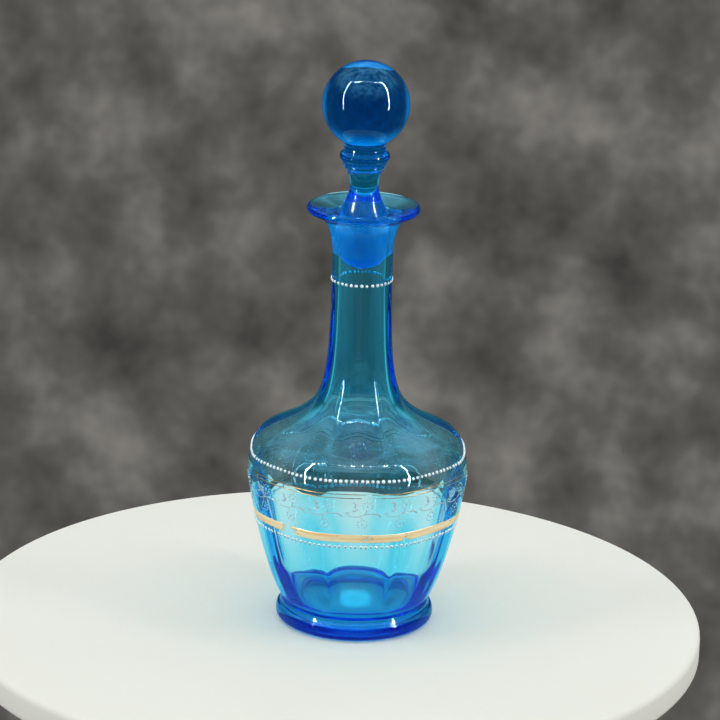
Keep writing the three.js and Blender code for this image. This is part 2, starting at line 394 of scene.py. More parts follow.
def turned(name, points, ridges, around, flatness, material, twist=0, sharp=1):
    """Turns an outline in millimetres into a finished piece."""
    verts = [(r * MM, 0, z * MM) for r, z in points]
    obj = new_object(name, verts, edges=[(i, i + 1) for i in range(len(verts) - 1)])
    for label, values in (("ridge", ridges), ("twist", twist), ("sharp", sharp)):
        stored = obj.data.attributes.new(label, "FLOAT", "POINT")
        stored.data.foreach_set("value", (np.ones(len(verts)) * values).astype(np.float32))
    grown(obj, turning, Around=around, Flatness=flatness, Material=material)
    report(obj)
    return obj


# %% [markdown]
# ## Blue glass
#
# The colour is in the glass, not on it: Volume Absorption takes the red out
# within a few millimetres and leaves the blue, so thin walls look pale
# turquoise and the foot and the ball deep blue. The faces are as smooth as a
# flame leaves them, with a slow waviness from the blowing. Where plug and mouth
# were ground together the same glass is matt, with fine rings from the wheel.

# %% Glass materials
RED_LOSS = 300
GREEN_KEPT = 0.862
BLUE_KEPT = 0.988
SMEARED = 0.008
GROUND_MATT = 0.7
WHEEL_RINGS = 900


def material(name):
    made = bpy.data.materials.new(name)
    made.use_nodes = True
    made.node_tree.nodes.clear()
    out = made.node_tree.nodes.new("ShaderNodeOutputMaterial")
    shader = made.node_tree.nodes.new("ShaderNodeBsdfPrincipled")
    made.node_tree.links.new(shader.outputs[0], out.inputs["Surface"])
    return made, made.node_tree, shader, out


def noise(tree, place, scale, detail, **more):
    return add(
        tree, "ShaderNodeTexNoise", Vector=place, Scale=scale, Detail=detail, **more
    ).outputs[0]


def spread(tree, value, start, end, first=0, last=1, kind="LINEAR"):
    """Goes from the first number to the last while a value goes from start to end."""
    options = {"interpolation_type": kind}
    return add(
        tree, "ShaderNodeMapRange", options, _0=value, _1=start, _2=end, _3=first, _4=last
    ).outputs[0]


def eased(tree, value, start, end, first=0, last=1):
    return spread(tree, value, start, end, first, last, "SMOOTHSTEP")


def between(tree, value, low, high, soft):
    """1 where a value lies between two limits, with soft ends."""
    rise = eased(tree, value, low, low + soft)
    fall = eased(tree, value, high, high + soft)
    return calc(tree, "SUBTRACT", rise, fall)


def blend(tree, share, a, b, kind="MIX"):
    """Two colours mixed by a share, which may go past 1."""
    options = {"data_type": "RGBA", "blend_type": kind, "clamp_factor": False}
    return add(tree, "ShaderNodeMix", options, _0=share, _6=a, _7=b).outputs[2]


def ramp(tree, value, *stops):
    """A colour ramp through stops, each a position and a colour."""
    node = add(tree, "ShaderNodeValToRGB", Fac=value)
    elements = node.color_ramp.elements
    for position, _ in stops[1:-1]:
        elements.new(position)
    for element, (position, colour) in zip(elements, stops):
        element.position = position
        element.color = (*colour, 1)
    return node.outputs[0]


def glass(name, ground_from, ground_to, ground_radius, wave, density=1, green=GREEN_KEPT):
    """Coloured glass that is ground matt between two heights, near the axis."""
    made, tree, shader, out = material(name)
    shader.inputs["Base Color"].default_value = (1, 1, 1, 1)
    shader.inputs["Transmission Weight"].default_value = 1
    shader.inputs["IOR"].default_value = 1.5
    shader.inputs["Specular Tint"].default_value = (0.5, 0.8, 1, 1)
    volume = add(tree, "ShaderNodeVolumeAbsorption", Density=RED_LOSS * density)
    volume.inputs["Color"].default_value = (0, green, BLUE_KEPT, 1)
    tree.links.new(volume.outputs[0], out.inputs["Volume"])

    place = tree.nodes.new("ShaderNodeTexCoord").outputs["Object"]
    xyz = add(tree, "ShaderNodeSeparateXYZ", _0=place).outputs
    across = add(tree, "ShaderNodeCombineXYZ", X=xyz[0], Y=xyz[1]).outputs[0]
    height = between(tree, xyz[2], ground_from * MM, ground_to * MM, 0.4 * MM)
    near = calc(tree, "LESS_THAN", vector(tree, "LENGTH", across), ground_radius * MM)
    matt = calc(tree, "MULTIPLY", height, near)

    smear = spread(tree, noise(tree, place, 60, 3), 0.5, 0.8, 0, SMEARED)
    rough = add(tree, "ShaderNodeMix", {"data_type": "FLOAT"}, _0=matt, _2=smear, _3=GROUND_MATT)
    link(tree, rough.outputs[0], shader.inputs["Roughness"])

    rings = add(
        tree,
        "ShaderNodeTexWave",
        {"bands_direction": "Z"},
        Vector=place,
        Scale=WHEEL_RINGS,
        Distortion=2,
    )
    blown = calc(tree, "MULTIPLY", noise(tree, place, 45, 1), wave)
    wheel = calc(tree, "MULTIPLY", calc(tree, "MULTIPLY", rings.outputs["Color"], matt), 0.05)
    bump = add(
        tree,
        "ShaderNodeBump",
        Strength=1,
        Distance=0.2 * MM,
        Height=calc(tree, "ADD", blown, wheel),
    )
    link(tree, bump.outputs[0], shader.inputs["Normal"])
    return made


GROUND_RADIUS = 11.7
PLUG_LOW = 160
bottle_finish = glass("blue_glass", GROUND_END, PLUG_TOP, GROUND_RADIUS, 0.08)
stopper_finish = glass("stopper_glass", PLUG_LOW, PLUG_TOP, GROUND_RADIUS, 0.06)
print("red left after 10 mm of glass:", round(math.exp(-RED_LOSS * 10 * MM), 3))

# %% [markdown]
# ## The bottle
#
# A blown bottle has real thickness, so outside and inside meet at the lip in
# one outline that starts and ends on the axis, and the tree turns it into one
# closed skin. A Solidify modifier would give an even wall, and this one is
# uneven. The ribs inside stand a little beside the ridges outside.

# %% The vessel
FLATNESS = 0.3
BOTTLE_COLUMNS = 240
bottle_outline = np.vstack([outside, inside])
ridges = np.r_[
    ridge_share(outside[:, 1], RIDGE_OUTSIDE), ridge_share(inside[:, 1], RIDGE_INSIDE)
]
twists = np.r_[np.zeros(len(outside)), np.full(len(inside), INSIDE_TWIST)]
sharpness = np.r_[np.ones(len(outside)), np.interp(inside[:, 1], SHARP_HEIGHTS, SHARPNESS)]
bottle_glass = turned(
    "bottle_glass",
    bottle_outline,
    ridges,
    BOTTLE_COLUMNS,
    FLATNESS,
    bottle_finish,
    twists,
    sharpness,
)

# %% [markdown]
# ## The foot
#
# A thick pad of darker glass, pressed on hot: its rim laps the heel of the body
# and climbs it with a small fillet, it stands on a narrow ring that was ground
# flat, and inside the ring it is dished. Light that enters the rim runs on
# through the pad from side to side, so it comes out a deep blue. A hair's
# breadth of air keeps the two closed skins apart, as a renderer needs.

# %% Foot
SKIN_GAP = 0.05
FOOT_DENSITY = 1.15
FOOT_GREEN_KEPT = 0.76
FOOT_COLUMNS = 192
DISH_TOP = 4.2
RING_INSIDE = (24.6, 0.5)
RING_OUTSIDE = (31, 0)
FOOT_SIDE = (36.2, 3.7)
FILLET_START = (35.0, 7.3)
FILLET_END = (33.7, 10.0)

foot_finish = glass("foot_glass", 0, 0.1, 31.5, 0.08, FOOT_DENSITY, FOOT_GREEN_KEPT)
foot_dish = sweep((0, DISH_TOP), (10, DISH_TOP), (18, 2.6), RING_INSIDE, 20)
foot_ground = sweep(RING_INSIDE, (24.9, 0.3), (25.2, 0), (25.9, 0), 5)
foot_rim = chain(
    sweep(RING_OUTSIDE, (34.4, 0), (FOOT_SIDE[0], 1.5), FOOT_SIDE, 14),
    sweep(FOOT_SIDE, (FOOT_SIDE[0], 6.0), (35.7, 6.9), FILLET_START, 12),
    sweep(FILLET_START, (34.3, 7.7), (33.8, 8.5), FILLET_END, 8),
)
lap_rise = (FILLET_END[1] - heel[-1][1]) / lean[1]
lap_top = heel[-1] + lap_rise * lean + (SKIN_GAP, 0)
foot_lap = chain(
    [lap_top], arc(HEEL_CENTRE, HEEL_ROUND + SKIN_GAP, -math.degrees(HEEL_LEAN), -90, 10)
)
foot_top = underside[::-1] - (0, SKIN_GAP)
foot_outline = chain(foot_dish, foot_ground, foot_rim, foot_lap, foot_top)
no_ridges = np.zeros(len(foot_outline))
foot_glass = turned("foot_solid", foot_outline, no_ridges, FOOT_COLUMNS, 0, foot_finish)

# %% [markdown]
# ## The stopper
#
# The plug, the waisted shank and the collar of three rings were pressed as one
# piece, and the ball was stuck on hot. It is solid glass all through, so one
# closed skin is enough, and the ball works as a strong lens.

# %% Stopper
BALL_RADIUS = 19.6
BALL_CENTRE = 242.35
COLLAR = 213.4
COLLAR_RINGS = [(9.1, 1.6), (9.9, 2.1), (11.4, 3.5)]
WAIST = (6.4, 206)
PLUG_END = 167.4
PLUG_END_RADIUS = 10.27
BALL_NECK = 9.6
STOPPER_COLUMNS = 128

plug_end = sweep((0, PLUG_END), (4.6, PLUG_END), (8.4, 169.8), (PLUG_END_RADIUS, GROUND_END), 14)
plug = chain(plug_end, [(PLUG_RADIUS, PLUG_TOP)])
shank = chain(
    sweep((PLUG_RADIUS, PLUG_TOP), (10.1, 196.0), (WAIST[0], WAIST[1] - 6), WAIST, 18),
    sweep(WAIST, (WAIST[0], WAIST[1] + 2.2), (7.1, COLLAR - 2.4), (8.3, COLLAR), 10),
)
stretches = [plug, shank]
z = COLLAR
for radius, height in COLLAR_RINGS:
    inner, outer, top = radius - height * 0.3, radius + 0.1, z + height
    stretches.append(sweep((inner, z), (outer, z + 0.1), (outer, top - 0.1), (inner, top), 8))
    z = top
ball_foot = -math.degrees(math.acos(BALL_NECK / BALL_RADIUS))
ball = arc((0, BALL_CENTRE), BALL_RADIUS, ball_foot, 90, 64)
ball[-1, 0] = 0
stretches.append(sweep((9.9, z + 0.2), (9.3, z + 0.9), (9.0, z + 3.0), ball[0], 8))
stopper_outline = chain(*stretches, ball)
no_ridges = np.zeros(len(stopper_outline))
stopper_glass = turned(
    "stopper_solid", stopper_outline, no_ridges, STOPPER_COLUMNS, 0, stopper_finish
)

# %% [markdown]
# ## Gilding
#
# The band and the two thin lines are liquid gold, painted on while the bottle
# turned and fired. After a century of washing the band has holes and thin
# places, and a few spots are rubbed through. An image could paint that, but a
# procedure needs no image and stays sharp from close by. The wear is a mask
# from two noises drawn out along the band, which drives the skin's
# transparency, and long brush strokes vary its tone. The side that lies on the
# glass is coloured a dark olive, and that is what shows through the bottle from
# the far wall.

# %% Gilding material
RUBBED = [(-32.4, -37, 54.5, 4.6), (23.8, -42.5, 54.5, 5), (38, 24, 54, 14), (-20, 42, 54, 10)]
RUBBED_WEAR = 0.2
DARK_INNER_SIDE = (0.12, 0.11, 0.06, 1)


def gilding(name, wear, dark, pale, metal):
    """Worn gold: above its wear, the mask of the noises leaves bare glass."""
    made, tree, shader, _ = material(name)
    place = tree.nodes.new("ShaderNodeTexCoord").outputs["Object"]
    along = add(tree, "ShaderNodeMapping", {"vector_type": "POINT"}, Vector=place)
    along.inputs["Scale"].default_value = (1, 1, 2.5)
    patches = noise(tree, along.outputs[0], 55, 4, Roughness=0.65)
    rubs = noise(tree, along.outputs[0], 420, 2)
    worn = calc(tree, "MULTIPLY_ADD", rubs, 0.22, patches)
    for *spot, reach in RUBBED:
        away = vector(tree, "DISTANCE", place, [c * MM for c in spot])
        thin = eased(tree, away, reach * MM, reach * 0.4 * MM, 0, RUBBED_WEAR)
        worn = calc(tree, "ADD", worn, thin)
    link(tree, spread(tree, worn, wear + 0.07, wear - 0.03), shader.inputs["Alpha"])

    brushed = add(tree, "ShaderNodeMapping", {"vector_type": "POINT"}, Vector=place)
    brushed.inputs["Scale"].default_value = (0.25, 0.25, 4)
    strokes = noise(tree, brushed.outputs[0], 220, 3)
    tone = ramp(tree, strokes, (0.35, dark), (0.65, pale))
    normal = tree.nodes.new("ShaderNodeNewGeometry").outputs["True Normal"]
    inner_side = calc(tree, "LESS_THAN", vector(tree, "DOT_PRODUCT", place, normal), 0)
    link(tree, blend(tree, inner_side, tone, DARK_INNER_SIDE), shader.inputs["Base Color"])
    shader.inputs["Metallic"].default_value = metal
    link(tree, spread(tree, rubs, 0, 1, 0.28, 0.5), shader.inputs["Roughness"])
    bump = add(tree, "ShaderNodeBump", Strength=0.4, Distance=0.05 * MM, Height=rubs)
    link(tree, bump.outputs[0], shader.inputs["Normal"])
    return made


band_finish = gilding("worn_gold_band", 0.70, (1.0, 0.60, 0.24), (1.0, 0.86, 0.54), 0.1)
# The thin lines' gold is coloured far darker than the band's: that dark colour is painted shade,
# for lines that get little light from the front. Their holes are real wear.
line_finish_painted_shade = gilding("worn_gold_line", 0.64, (0.16, 0.11, 0.05), (0.50, 0.36, 0.15), 0.8)

# %% [markdown]
# The band and the lines follow the outside of the glass, ridges included. So
# they are turned by the same tree, each from a thin loop just off the glass.

# %% Gilt band and lines
GILT_LIFT = 0.03
GILT_THICKNESS = 0.05
GILT_COLUMNS = 192
BAND_LOW, BAND_HIGH = 52.8, 56.7
LINES = [(74.55, 74.9), (76.25, 76.6)]


def gilt_ring(name, low, high, finish):
    """A thin skin on the outside of the glass between two heights."""
    z = np.linspace(low, high, 9)
    radius = np.interp(z, side[:, 1], side[:, 0]) + GILT_LIFT
    inner = np.stack([radius, z], 1)
    outer = inner + (GILT_THICKNESS, 0)
    loop = np.vstack([inner[:1], outer, inner[::-1]])
    shares = ridge_share(loop[:, 1], RIDGE_OUTSIDE)
    return turned(name, loop, shares, GILT_COLUMNS, FLATNESS, finish)


gilt_band = gilt_ring("gilt_band_skin", BAND_LOW, BAND_HIGH, band_finish)
gilt_lower = gilt_ring("gilt_line_low_skin", *LINES[0], line_finish_painted_shade)
gilt_upper = gilt_ring("gilt_line_high_skin", *LINES[1], line_finish_painted_shade)

# %% [markdown]
# ## Enamel
#
# Thick white enamel was fused on in drops. Close up it is a little cloudy and
# pitted. The lowest row has lost its white: there a drop is blue like the glass
# behind it, and only its rim is still pale. Each point of a drop carries a
# number, its share of the way to the rim, which tells the material where that is.

# %% Enamel material


def enamel(name, colour, rim):
    """Cloudy enamel, with another colour where a drop is worn at its rim."""
    made, tree, shader, _ = material(name)
    place = tree.nodes.new("ShaderNodeTexCoord").outputs["Object"]
    cloud = noise(tree, place, 260, 3)
    tone = ramp(tree, cloud, (0.3, [c * 0.86 for c in colour]), (0.6, colour))
    edge = add(tree, "ShaderNodeAttribute", {"attribute_name": "edge"}).outputs["Fac"]
    rimmed = blend(tree, spread(tree, edge, 0.55, 0.8), tone, (*rim, 1))
    link(tree, rimmed, shader.inputs["Base Color"])
    link(tree, spread(tree, cloud, 0, 1, 0.18, 0.42), shader.inputs["Roughness"])
    pits = noise(tree, place, 1500, 2)
    bump = add(tree, "ShaderNodeBump", Strength=0.3, Distance=0.04 * MM, Height=pits)
    link(tree, bump.outputs[0], shader.inputs["Normal"])
    return made


bead_finish = enamel("white_enamel", (0.86, 0.90, 0.93), (0.70, 0.78, 0.84))
worn_finish = enamel("worn_enamel", (0.16, 0.50, 0.62), (0.86, 0.92, 0.94))
# The sprigs' pale enamel is coloured a darker grey-blue: that darkening is painted shade, for
# enamel lit from behind with little light in front.
sprig_finish_painted_shade = enamel("pale_enamel", (0.44, 0.56, 0.60), (0.30, 0.42, 0.46))

# %% [markdown]
# ## Rows of beads
#
# The drops were set by hand, so no two are quite alike. They could be copied
# one by one, but a tree holds the rule of the whole row: a ring of points is
# thrown at the glass with Raycast, and a drop is set on every hit, turned to
# the surface. The seed of the random sizes is fixed, so each run gives the
# same row.

# %% A tree for a row of beads
BEAD_DRIFT = 0.12
BEAD_RISE = 0.08
BEAD_WIDTHS = (0.86, 1.1)
BEAD_FLATNESS = 0.68
RAY_START = 0.08
RAY_LENGTH = 0.1


def onto_glass(tree, turn, height, glass_object):
    """Where a horizontal line towards the axis meets the glass, and the way it faces."""
    out = add(
        tree,
        "ShaderNodeCombineXYZ",
        X=calc(tree, "SINE", turn),
        Y=calc(tree, "MULTIPLY", calc(tree, "COSINE", turn), -1),
    ).outputs[0]
    raised = add(tree, "ShaderNodeCombineXYZ", Z=height).outputs[0]
    source = vector(tree, "ADD", vector(tree, "SCALE", out, Scale=RAY_START), raised)
    target = add(tree, "GeometryNodeObjectInfo", Object=glass_object)
    ray = tree.nodes.new("GeometryNodeRaycast")
    link(tree, target.outputs["Geometry"], ray.inputs["Target Geometry"])
    link(tree, source, ray.inputs["Source Position"])
    link(tree, vector(tree, "SCALE", out, Scale=-1), ray.inputs["Ray Direction"])
    link(tree, RAY_LENGTH, ray.inputs["Ray Length"])
    return ray.outputs["Hit Position"], ray.outputs["Hit Normal"]


def drawn(tree, low, high, seed):
    """A random number for each point, the same in every run."""
    options = {"data_type": "FLOAT"}
    return add(tree, "FunctionNodeRandomValue", options, _2=low, _3=high, Seed=seed).outputs[1]


def bead_tree():
    tree, given = new_tree(
        "bead_row",
        Count=("Int", 60),
        Height=("Float", 0.1),
        Bead=("Float", 0.8 * MM),
        Seed=("Int", 0),
        Glass=("Object", None),
        Material=("Material", None),
    )
    points = add(tree, "GeometryNodeMeshLine", Count=given["Count"]).outputs[0]
    index = add(tree, "GeometryNodeInputIndex").outputs[0]
    drift = drawn(tree, -BEAD_DRIFT, BEAD_DRIFT, given["Seed"])
    step = calc(tree, "DIVIDE", calc(tree, "ADD", index, drift), given["Count"])
    turn = calc(tree, "MULTIPLY", step, math.tau)
    seed = calc(tree, "ADD", given["Seed"], 1)
    rise = drawn(tree, -BEAD_RISE * MM, BEAD_RISE * MM, seed)
    hit, facing = onto_glass(tree, turn, calc(tree, "ADD", given["Height"], rise), given["Glass"])
    kept = add(tree, "GeometryNodeCaptureAttribute", {"domain": "POINT"}, Geometry=points)
    kept.capture_items.new("VECTOR", "Facing")
    link(tree, facing, kept.inputs["Facing"])
    placed = add(tree, "GeometryNodeSetPosition", Geometry=kept.outputs["Geometry"], Position=hit)
    drop = add(tree, "GeometryNodeMeshUVSphere", Segments=10, Rings=8, Radius=given["Bead"])
    place = add(tree, "GeometryNodeInputPosition").outputs[0]
    off_centre = vector(tree, "LENGTH", vector(tree, "MULTIPLY", place, (1, 1, 0)))
    marked = add(
        tree,
        "GeometryNodeStoreNamedAttribute",
        {"data_type": "FLOAT", "domain": "POINT"},
        Geometry=drop.outputs["Mesh"],
        Name="edge",
        Value=calc(tree, "DIVIDE", off_centre, given["Bead"]),
    )
    aligned = add(
        tree, "FunctionNodeAlignRotationToVector", {"axis": "Z"}, Vector=kept.outputs["Facing"]
    )
    width = drawn(tree, *BEAD_WIDTHS, calc(tree, "ADD", given["Seed"], 2))
    flat = calc(tree, "MULTIPLY", width, BEAD_FLATNESS)
    scale = add(tree, "ShaderNodeCombineXYZ", X=width, Y=width, Z=flat).outputs[0]
    row = add(
        tree,
        "GeometryNodeInstanceOnPoints",
        Points=placed.outputs[0],
        Instance=marked.outputs[0],
        Rotation=aligned.outputs[0],
        Scale=scale,
    )
    end_tree(tree, row.outputs[0], given["Material"])
    return tree


# %% Bead rows
beads = bead_tree()
BEAD_ROWS = [
    ("beads_neck", 36, 162.2, 0.76, 11, bead_finish),
    ("beads_shoulder", 130, 82.1, 0.78, 22, bead_finish),
    ("beads_low", 126, 50.3, 0.88, 33, worn_finish),
]
bead_rows = []
for name, count, height, bead, seed, finish in BEAD_ROWS:
    row = new_object(name)
    grown(
        row,
        beads,
        Count=count,
        Height=height * MM,
        Bead=bead * MM,
        Seed=seed,
        Glass=bottle_glass,
        Material=finish,
    )
    report(row)
    bead_rows.append(row)

# %% [markdown]
# ## The frieze of flower sprigs
#
# Between the gilding runs a frieze of the plainest kind: a wavy stem, two
# flowers made of dots and a curl, again and again. One sprig is drawn flat,
# from dots and brush strokes with a raised back, as thick enamel stands.

# %% One sprig, drawn flat in millimetres
DOT_SIDES = 8
DOT_LEVELS = [(1.0, -0.15), (0.92, 0.25), (0.55, 0.55)]
STROKE_BACK = [(-1, -0.1), (-0.6, 0.5), (0.6, 0.5), (1, -0.1)]
STROKE_STEPS = 12
PETALS = 9
PETAL_REACH = 2.1
PETAL_RADIUS = 0.36
EYE_RADIUS = 0.5


def dot(verts, faces, centre, radius):
    """A low round drop, drawn flat: rings of points with two flat ends."""
    start = len(verts)
    n = DOT_SIDES
    for share, lift in DOT_LEVELS:
        for i in range(n):
            a = math.tau * i / n
            x = centre[0] + radius * share * math.cos(a)
            y = centre[1] + radius * share * math.sin(a)
            verts.append((x, y, radius * lift))
    top = start + n * (len(DOT_LEVELS) - 1)
    for level in range(start, top, n):
        for i in range(n):
            a, b = level + i, level + (i + 1) % n
            faces.append((a, b, b + n, a + n))
    faces.append(tuple(range(top, top + n)))
    faces.append(tuple(range(start + n - 1, start - 1, -1)))


def stroke(verts, faces, path, widths):
    """A brush stroke with a raised back."""
    along = np.gradient(path, axis=0)
    along /= np.linalg.norm(along, axis=1)[:, None]
    across = np.stack([-along[:, 1], along[:, 0]], 1)
    start = len(verts)
    for p, n, w in zip(path, across, widths):
        for share, lift in STROKE_BACK:
            q = p + n * share * w
            verts.append((q[0], q[1], lift * w))
    for i in range(len(path) - 1):
        for j in range(4):
            a, b = start + i * 4 + j, start + i * 4 + (j + 1) % 4
            faces.append((a, a + 4, b + 4, b))
    faces.append((start, start + 1, start + 2, start + 3))
    end = start + 4 * (len(path) - 1)
    faces.append((end + 3, end + 2, end + 1, end))


def flower(verts, faces, centre, turn):
    dot(verts, faces, centre, EYE_RADIUS)
    for i in range(PETALS):
        a = turn + math.tau * i / PETALS
        spot = (centre[0] + PETAL_REACH * math.cos(a), centre[1] + PETAL_REACH * math.sin(a))
        dot(verts, faces, spot, PETAL_RADIUS)


def taper(thick):
    """Half widths of a stroke, thin at both ends."""
    t = np.linspace(0, 1, STROKE_STEPS + 1)
    return thick * np.minimum(1, 0.35 + 4 * np.minimum(t, 1 - t))


sprig_verts, sprig_faces = [], []
flower(sprig_verts, sprig_faces, (2.3, 71.0), 0.2)
flower(sprig_verts, sprig_faces, (0.0, 62.0), 0.5)
STROKES = [
    ([(-7.4, 67.3), (-5.2, 65.4), (-2.2, 65.4), (0.4, 66.6)], 0.2),
    ([(0.4, 66.6), (2.2, 67.4), (3.6, 67.5), (5.0, 66.8)], 0.22),
    ([(4.4, 67.3), (6.4, 67.6), (7.4, 66.8), (8.4, 65.6)], 0.34),
    ([(-7.4, 67.3), (-7.0, 68.0), (-6.2, 68.0), (-5.6, 67.4)], 0.22),
    ([(0.4, 66.6), (1.3, 67.2), (1.9, 68.2), (2.1, 69.0)], 0.16),
    ([(-0.6, 66.1), (-0.4, 65.4), (-0.2, 64.8), (-0.1, 64.5)], 0.14),
    ([(-4.6, 72.6), (-2.6, 72.9), (-2.5, 70.8), (-3.9, 70.6)], 0.3),
    ([(-3.9, 70.6), (-1.6, 70.7), (-1.9, 68.2), (-4.9, 68.6)], 0.36),
]
for path, thick in STROKES:
    stroke(sprig_verts, sprig_faces, sweep(*path, STROKE_STEPS), taper(thick))
print("one sprig:", len(sprig_faces), "faces")

# %% [markdown]
# The sprig is flat and the bottle is round. A tree repeats the sprig, turns the
# distance along it into an angle, and lays every point on the glass with
# Raycast, raised by its flat height. A Shrinkwrap modifier would press the
# strokes' raised backs flat.

# %% The frieze tree
SPRIGS = 18
FRIEZE_RADIUS = 0.049
FIRST_SPRIG = 0.155


def frieze_tree():
    tree, given = new_tree(
        "frieze_on_glass",
        Count=("Int", SPRIGS),
        Radius=("Float", FRIEZE_RADIUS),
        Start=("Float", 0.0),
        Glass=("Object", None),
        Material=("Material", None),
    )
    points = add(tree, "GeometryNodeMeshLine", Count=given["Count"])
    points.inputs["Offset"].default_value = (0, 0, 0)
    placed = add(
        tree,
        "GeometryNodeInstanceOnPoints",
        Points=points.outputs[0],
        Instance=given["Geometry"],
    )
    kept = add(
        tree, "GeometryNodeCaptureAttribute", {"domain": "INSTANCE"}, Geometry=placed.outputs[0]
    )
    kept.capture_items.new("FLOAT", "Turn")
    index = add(tree, "GeometryNodeInputIndex").outputs[0]
    turn = calc(tree, "DIVIDE", calc(tree, "ADD", index, given["Start"]), given["Count"])
    link(tree, calc(tree, "MULTIPLY", turn, math.tau), kept.inputs["Turn"])
    real = add(tree, "GeometryNodeRealizeInstances", _0=kept.outputs["Geometry"])
    place = add(tree, "GeometryNodeInputPosition").outputs[0]
    flat = add(tree, "ShaderNodeSeparateXYZ", _0=place).outputs
    along = calc(tree, "DIVIDE", flat[0], given["Radius"])
    angle = calc(tree, "ADD", kept.outputs["Turn"], along)
    hit, facing = onto_glass(tree, angle, flat[1], given["Glass"])
    laid = vector(tree, "ADD", hit, vector(tree, "SCALE", facing, Scale=flat[2]))
    bent = add(tree, "GeometryNodeSetPosition", Geometry=real.outputs[0], Position=laid)
    end_tree(tree, bent.outputs[0], given["Material"])
    return tree


# %% Frieze
frieze = new_object("frieze", np.array(sprig_verts) * MM, sprig_faces)
grown(
    frieze,
    frieze_tree(),
    Count=SPRIGS,
    Radius=FRIEZE_RADIUS,
    Start=FIRST_SPRIG,
    Glass=bottle_glass,
    Material=sprig_finish_painted_shade,
)
report(frieze)

# %% [markdown]
# ## Joining the pieces to the frame
#
# Each piece is hung on the body of the frame it moves with, and the frame's
# plain solids that it stands for are hidden. The enamel has no solid of its
# own: it is part of the bottle's surface.

# %% Bodies and replaced nodes
ON_BOTTLE = [
    (bottle_glass, "blue_glass", ["bottle_body"]),
    (foot_glass, "foot_glass", ["applied_foot"]),
    (gilt_band, "gilding", ["gilt_band"]),
    (gilt_lower, "gilding", ["gilt_line_lower"]),
    (gilt_upper, "gilding", ["gilt_line_upper"]),
]
for piece, slot_name, nodes in ON_BOTTLE:
    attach(piece, "bottle")
    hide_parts(*nodes)
for piece in [*bead_rows, frieze]:
    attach(piece, "bottle")
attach(stopper_glass, "stopper")
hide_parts("stopper_stem", "stopper_ball")

# %% [markdown]
# ## The table
#
# The bottle stands on a round white table top. Its far edge shows through the
# glass, so the table has a real rim and not just an endless floor. The renderer
# doesn't gather light through glass. So where a ray came through glass, part of
# the table glows by itself: most in the middle, and less in a ring round it.
# What the blue glass mirrors of the table is tinted blue.

# %% Table top
TABLE_RADIUS = 171
TABLE_THICKNESS = 14
TABLE_EDGE = 3
TABLE_COLUMNS = 128
TABLE_SHIFT = (-0.0106, 0.0040, 0)
TABLE_TONES = [(0, (0.775, 0.755, 0.695)), (1, (0.825, 0.805, 0.745))]
MIRROR_TINT = (0.35, 0.75, 1.0, 1)
GLOW_SHARE = 0.75
GLOW_STRENGTHS = (1.2, 1.8)
GLOW_RING = (9, 38)
RING_LOSS = 0.48

edge_middle = TABLE_RADIUS - TABLE_EDGE
table_side = chain(
    [(0, -TABLE_THICKNESS), (edge_middle, -TABLE_THICKNESS)],
    arc((edge_middle, TABLE_EDGE - TABLE_THICKNESS), TABLE_EDGE, -90, 0, 6),
    arc((edge_middle, -TABLE_EDGE), TABLE_EDGE, 0, 90, 6),
    [(60, 0), (0, 0)],
)
table_finish, tree, shader, out = material("pale_table")
place = tree.nodes.new("ShaderNodeTexCoord").outputs["Object"]
tone = ramp(tree, noise(tree, place, 9, 4), *TABLE_TONES)
ray = tree.nodes.new("ShaderNodeLightPath").outputs
mirrored = blend(tree, ray["Is Glossy Ray"], tone, MIRROR_TINT, "MULTIPLY")
link(tree, mirrored, shader.inputs["Base Color"])
shader.inputs["Roughness"].default_value = 0.6
shader.inputs["Specular IOR Level"].default_value = 0

off_middle = vector(tree, "LENGTH", place)
strength = spread(tree, off_middle, 12 * MM, 7 * MM, *GLOW_STRENGTHS)
glow = add(tree, "ShaderNodeEmission", Color=tone, Strength=strength)
ring = between(tree, off_middle, GLOW_RING[0] * MM, GLOW_RING[1] * MM, 4 * MM)
pool = calc(tree, "MULTIPLY_ADD", ring, -RING_LOSS, 1)
through = calc(tree, "MULTIPLY", ray["Is Transmission Ray"], GLOW_SHARE)
through = calc(tree, "MULTIPLY", through, pool)
both = add(tree, "ShaderNodeMixShader", _0=through, _1=shader.outputs[0], _2=glow.outputs[0])
tree.links.new(both.outputs[0], out.inputs["Surface"])
no_ridges = np.zeros(len(table_side))
table = turned("table_top", table_side, no_ridges, TABLE_COLUMNS, 0, table_finish)
table.data.transform(Matrix.Translation(TABLE_SHIFT))

# %% [markdown]
# ## Soft light
#
# The world is a plain studio: a grey cloth all round, with clouds from a dim
# noise. Two versions of it are made. One lights the scene from above, from both
# sides and a little from the front. It is also what shows through the glass,
# and there the clouds are softer and a little brighter. The other is what the
# camera sees and what the glass mirrors. Its one light comes from above and has
# broad folds, like a tent of cloth, which break up the shine on the shoulder.

# %% World
CLOUDS, CLOUDS_SEEN = 5, 37
SOFTENING = 0.6
CLOTH_TONES = [(0.28, 0.048), (0.50, 0.107), (0.72, 0.215)]
CLOTH_WARMTH = (1, 0.96, 0.88)
TOP_EDGE = (0.25, 0.85)
SIDE_EDGE = (0.75, 0.95)
SIDE_SHARE = 0.7
FRONT_EDGE = (-0.2, -0.9)
FRONT_SHARE = 0.5
FOLDS = (0.5, 2.6)
TOP_LIGHT = 1.07
TOP_WARMTH = (1.03, 1, 0.96)
TOP_MIRRORED = (0.32, 0.95, 1.25)
CLOTH_THROUGH_GLASS = (1.1, 1.25, 1.45, 1)
CLOTH_MIRRORED = (0.3, 0.7, 1.0, 1)


def scaled(colour, share):
    return tuple(share * c for c in colour)


world = bpy.data.worlds.new("studio")
bpy.context.scene.world = world
world.use_nodes = True
tree = world.node_tree
tree.nodes.clear()
ray = tree.nodes.new("ShaderNodeLightPath").outputs
way = tree.nodes.new("ShaderNodeTexCoord").outputs["Generated"]
xyz = add(tree, "ShaderNodeSeparateXYZ", _0=way).outputs
after_diffuse = calc(tree, "GREATER_THAN", ray["Diffuse Depth"], 0.5)

